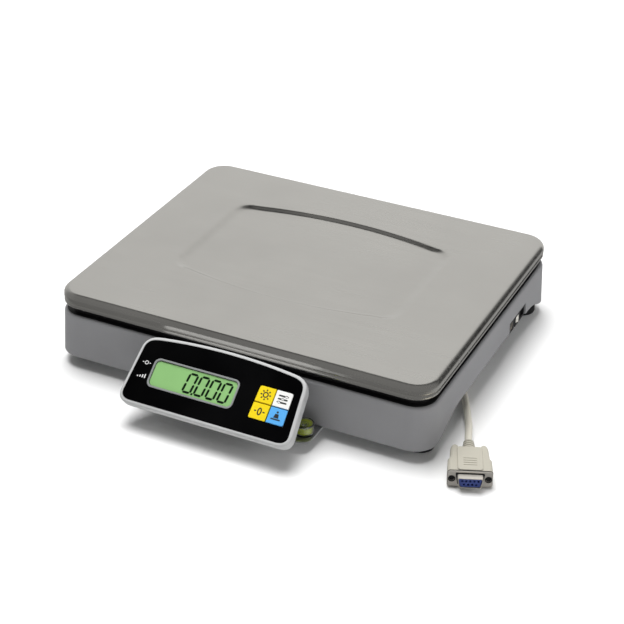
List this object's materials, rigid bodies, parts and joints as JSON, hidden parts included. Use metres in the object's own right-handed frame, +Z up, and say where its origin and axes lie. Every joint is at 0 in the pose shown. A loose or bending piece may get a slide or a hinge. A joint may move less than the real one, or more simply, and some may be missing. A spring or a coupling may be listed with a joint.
{
  "type": "bench shipping scale",
  "caption": "Low platform scale with a stainless pan on a load cell, a tilting keypad display in front, levelling feet, spirit level and serial lead.",
  "frame": {"origin": "middle of the machine's footprint (base and display, without the lead), on the surface it stands on", "axes": "+X to the right seen from the display side, +Y from the display to the rear, +Z up"},
  "size_m": [0.3512, 0.3866, 0.062],
  "materials": {
    "pan_steel": "fine brushed stainless sheet",
    "base_plastic": "fine-textured grey moulding",
    "display_plastic": "silver-grey moulding",
    "sheet_steel": "zinc-plated sheet steel",
    "fastener_steel": "zinc-plated",
    "cell_aluminium": "machined aluminium",
    "black_plastic": "black moulding",
    "overlay_black": "gloss black printed panel",
    "black_rubber": "matt black rubber",
    "circuit_board": "solder-masked board",
    "lcd": "green backlit liquid-crystal panel",
    "key_yellow": "yellow key cap",
    "key_white": "white key cap",
    "key_blue": "light blue key cap",
    "level_fluid": "yellow-green spirit-level fluid",
    "clear_plastic": "clear acrylic",
    "lead_beige": "beige PVC cable and moulding",
    "insert_blue": "blue connector insert",
    "nickel": "nickel-plated steel",
    "rocker_ivory": "ivory rocker"
  },
  "bodies": {
    "base": {"base_housing": "base_plastic", "bottom_plate": "sheet_steel", "load_cell": "cell_aluminium", "cell_spacer": "sheet_steel", "cell_bolt_1": "fastener_steel", "cell_bolt_2": "fastener_steel", "overload_stop": "fastener_steel", "main_board": "circuit_board", "power_jack": "black_plastic", "switch_frame": "black_plastic", "data_socket": "display_plastic", "cable_gland": "black_rubber", "display_bracket": "sheet_steel", "bracket_screw_left": "fastener_steel", "bracket_screw_right": "fastener_steel", "tilt_screw_left": "fastener_steel", "tilt_screw_right": "fastener_steel", "level_cup": "clear_plastic", "level_liquid": "level_fluid", "level_bubble": "clear_plastic", "level_lens": "clear_plastic", "lead_start": "lead_beige", "lead_end": "lead_beige", "lead_coil": "lead_beige", "coil_tie": "black_plastic", "plug_hood": "lead_beige", "plug_shell": "nickel", "plug_insert": "insert_blue", "plug_screw_left": "fastener_steel", "plug_screw_right": "fastener_steel"},
    "spider": {"platform_spider": "sheet_steel", "spider_riser": "sheet_steel", "spider_bolt_1": "fastener_steel", "spider_bolt_2": "fastener_steel", "pan_pad_front_left": "black_rubber", "pan_pad_front_right": "black_rubber", "pan_pad_rear_left": "black_rubber", "pan_pad_rear_right": "black_rubber"},
    "pan": {"weighing_pan": "pan_steel"},
    "display": {"display_front": "display_plastic", "display_rear": "display_plastic", "display_overlay": "overlay_black", "lcd_rim": "nickel", "lcd_panel": "lcd", "display_board": "circuit_board", "cover_screw_1": "fastener_steel", "cover_screw_2": "fastener_steel"},
    "rocker": {"power_rocker": "rocker_ivory"},
    "key_power": {"key_power": "key_yellow"},
    "key_function": {"key_function": "key_white"},
    "key_zero": {"key_zero": "key_yellow"},
    "key_tare": {"key_tare": "key_blue"},
    "foot_stud_front_left": {"foot_stud_front_left": "fastener_steel"},
    "foot_pad_front_left": {"foot_pad_front_left": "black_rubber"},
    "foot_stud_front_right": {"foot_stud_front_right": "fastener_steel"},
    "foot_pad_front_right": {"foot_pad_front_right": "black_rubber"},
    "foot_stud_rear_left": {"foot_stud_rear_left": "fastener_steel"},
    "foot_pad_rear_left": {"foot_pad_rear_left": "black_rubber"},
    "foot_stud_rear_right": {"foot_stud_rear_right": "fastener_steel"},
    "foot_pad_rear_right": {"foot_pad_rear_right": "black_rubber"}
  },
  "joints": [
    {"name": "platform_deflection", "type": "slide", "parent": "base", "child": "spider", "axis": [0, 0, -1], "range_m": [0, 0.0005], "stiffness_N_per_m": 300000, "springref_m": -0.00004, "deforming": ["load_cell"]},
    {"name": "pan_lift", "type": "slide", "parent": "spider", "child": "pan", "axis": [0, 0, 1], "range_m": [0, 0.12]},
    {"name": "display_tilt", "type": "hinge", "parent": "base", "child": "display", "pos_m": [0, -0.11823, 0.0205], "axis": [1, 0, 0], "range_deg": [-4, 18]},
    {"name": "rocker_switch", "type": "hinge", "parent": "base", "child": "rocker", "pos_m": [0.146, 0.08027, 0.0236], "axis": [0, 0, 1], "range_deg": [0, 18]},
    {"name": "key_power_press", "type": "slide", "parent": "display", "child": "key_power", "axis": [0, 0.6293, -0.7771], "range_m": [0, 0.0005], "stiffness_N_per_m": 5000, "springref_m": -0.0001},
    {"name": "key_function_press", "type": "slide", "parent": "display", "child": "key_function", "axis": [0, 0.6293, -0.7771], "range_m": [0, 0.0005], "stiffness_N_per_m": 5000, "springref_m": -0.0001},
    {"name": "key_zero_press", "type": "slide", "parent": "display", "child": "key_zero", "axis": [0, 0.6293, -0.7771], "range_m": [0, 0.0005], "stiffness_N_per_m": 5000, "springref_m": -0.0001},
    {"name": "key_tare_press", "type": "slide", "parent": "display", "child": "key_tare", "axis": [0, 0.6293, -0.7771], "range_m": [0, 0.0005], "stiffness_N_per_m": 5000, "springref_m": -0.0001},
    {"name": "foot_travel_front_left", "type": "slide", "parent": "base", "child": "foot_stud_front_left", "axis": [0, 0, 1], "range_m": [-0.00501, 0.00301]},
    {"name": "foot_turn_front_left", "type": "hinge", "parent": "foot_stud_front_left", "child": "foot_pad_front_left", "pos_m": [-0.136, -0.07723, 0], "axis": [0, 0, 1], "range_deg": [-1440, 864]},
    {"name": "foot_travel_front_right", "type": "slide", "parent": "base", "child": "foot_stud_front_right", "axis": [0, 0, 1], "range_m": [-0.00501, 0.00301]},
    {"name": "foot_turn_front_right", "type": "hinge", "parent": "foot_stud_front_right", "child": "foot_pad_front_right", "pos_m": [0.136, -0.07723, 0], "axis": [0, 0, 1], "range_deg": [-1440, 864]},
    {"name": "foot_travel_rear_left", "type": "slide", "parent": "base", "child": "foot_stud_rear_left", "axis": [0, 0, 1], "range_m": [-0.00501, 0.00301]},
    {"name": "foot_turn_rear_left", "type": "hinge", "parent": "foot_stud_rear_left", "child": "foot_pad_rear_left", "pos_m": [-0.136, 0.13477, 0], "axis": [0, 0, 1], "range_deg": [-1440, 864]},
    {"name": "foot_travel_rear_right", "type": "slide", "parent": "base", "child": "foot_stud_rear_right", "axis": [0, 0, 1], "range_m": [-0.00501, 0.00301]},
    {"name": "foot_turn_rear_right", "type": "hinge", "parent": "foot_stud_rear_right", "child": "foot_pad_rear_right", "pos_m": [0.136, 0.13477, 0], "axis": [0, 0, 1], "range_deg": [-1440, 864]}
  ],
  "couplings": [
    {"joint": "foot_travel_front_left", "follows": "foot_turn_front_left", "m_per_rad": 0.00019894},
    {"joint": "foot_travel_front_right", "follows": "foot_turn_front_right", "m_per_rad": 0.00019894},
    {"joint": "foot_travel_rear_left", "follows": "foot_turn_rear_left", "m_per_rad": 0.00019894},
    {"joint": "foot_travel_rear_right", "follows": "foot_turn_rear_right", "m_per_rad": 0.00019894}
  ]
}
